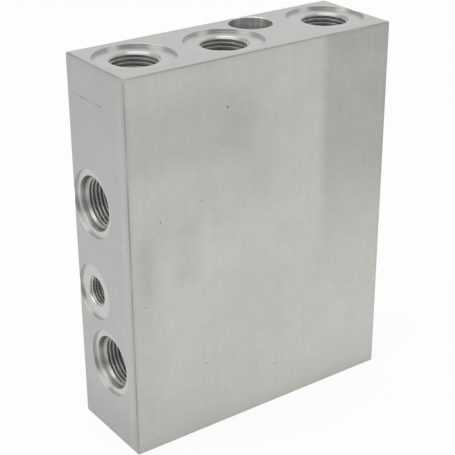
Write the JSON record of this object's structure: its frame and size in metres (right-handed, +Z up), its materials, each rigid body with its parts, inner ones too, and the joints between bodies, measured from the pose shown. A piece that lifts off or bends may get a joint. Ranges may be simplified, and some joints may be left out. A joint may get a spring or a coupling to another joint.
{
  "type": "hydraulic manifold block",
  "caption": "Rectangular aluminium hydraulic manifold block with spotfaced threaded ports in its top and end faces, a smooth blind bore and internal drilled passages.",
  "frame": {"origin": "centre of the bottom face", "axes": "+Z up through the top ports; -X out of the end face with three ports; -Y out of the plain long face"},
  "size_m": [0.1332, 0.044, 0.1685],
  "materials": {
    "aluminium": "fine milled satin, with turned ports"
  },
  "bodies": {
    "root": {"manifold_block": "aluminium"}
  },
  "joints": []
}
